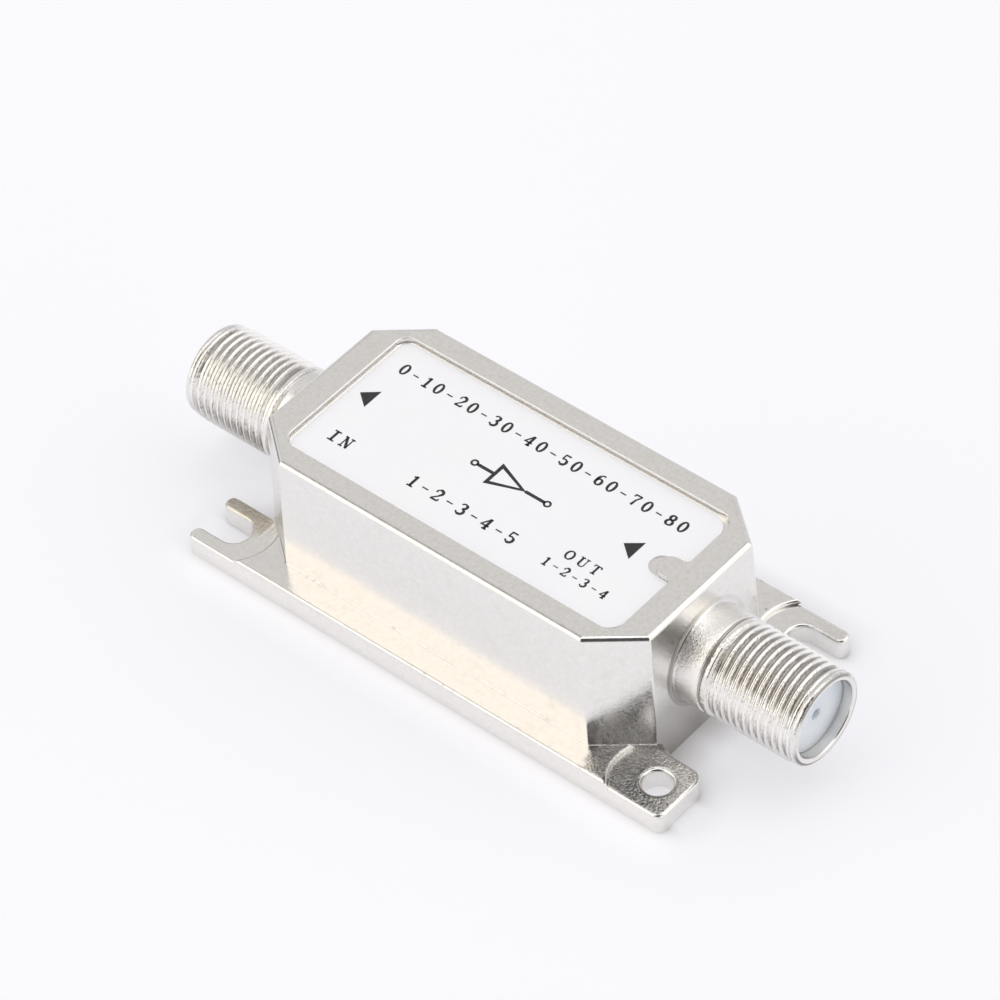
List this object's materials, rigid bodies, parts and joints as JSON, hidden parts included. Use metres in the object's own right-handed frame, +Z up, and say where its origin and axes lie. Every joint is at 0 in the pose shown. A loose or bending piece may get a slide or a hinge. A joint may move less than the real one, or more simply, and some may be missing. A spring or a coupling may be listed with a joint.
{
  "type": "in-line television signal amplifier",
  "caption": "Small die-cast in-line aerial amplifier with a threaded coaxial port at each end, slotted and drilled fixing ears and a recessed top label.",
  "frame": {"origin": "bottom centre of the casting, on the mounting plane", "axes": "+X along the ports towards the output end (the end with the key tab in the label pocket), +Z up out of the label"},
  "size_m": [0.0712, 0.0272, 0.0159],
  "materials": {
    "nickel_casting": "satin nickel plate over a zinc casting, slightly grainy",
    "label_vinyl": "printed white vinyl",
    "tinned_plate": "tinned steel",
    "board_laminate": "green solder mask",
    "board_copper": "tinned and masked copper",
    "insulator_plastic": "milky thermoplastic",
    "contact_metal": "plated phosphor bronze",
    "package_plastic": "moulded epoxy with tinned leads",
    "capacitor_sleeve": "shrunk sleeve over an aluminium can",
    "tinned_wire": "bright tin",
    "ferrite": "matt ferrite",
    "enamelled_wire": "enamelled copper",
    "ceramic_chip": "sintered ceramic with tinned ends",
    "resistor_chip": "glazed chip with tinned ends",
    "solder": "bright solder"
  },
  "bodies": {
    "root": {"housing": "nickel_casting", "label": "label_vinyl", "bottom_plate": "tinned_plate", "circuit_board": "board_laminate", "board_copper": "board_copper", "input_insulator": "insulator_plastic", "output_insulator": "insulator_plastic", "input_contact": "contact_metal", "output_contact": "contact_metal", "input_transistor": "package_plastic", "output_transistor": "package_plastic", "bias_regulator": "package_plastic", "supply_capacitor": "capacitor_sleeve", "supply_capacitor_leads": "tinned_wire", "input_choke_core": "ferrite", "input_choke_winding": "enamelled_wire", "output_choke_core": "ferrite", "output_choke_winding": "enamelled_wire", "surge_diode": "package_plastic", "coupling_capacitors": "ceramic_chip", "decoupling_capacitors": "ceramic_chip", "chip_resistors": "resistor_chip", "equaliser_coil": "enamelled_wire", "solder_joints": "solder", "ground_solder": "solder"}
  },
  "joints": []
}
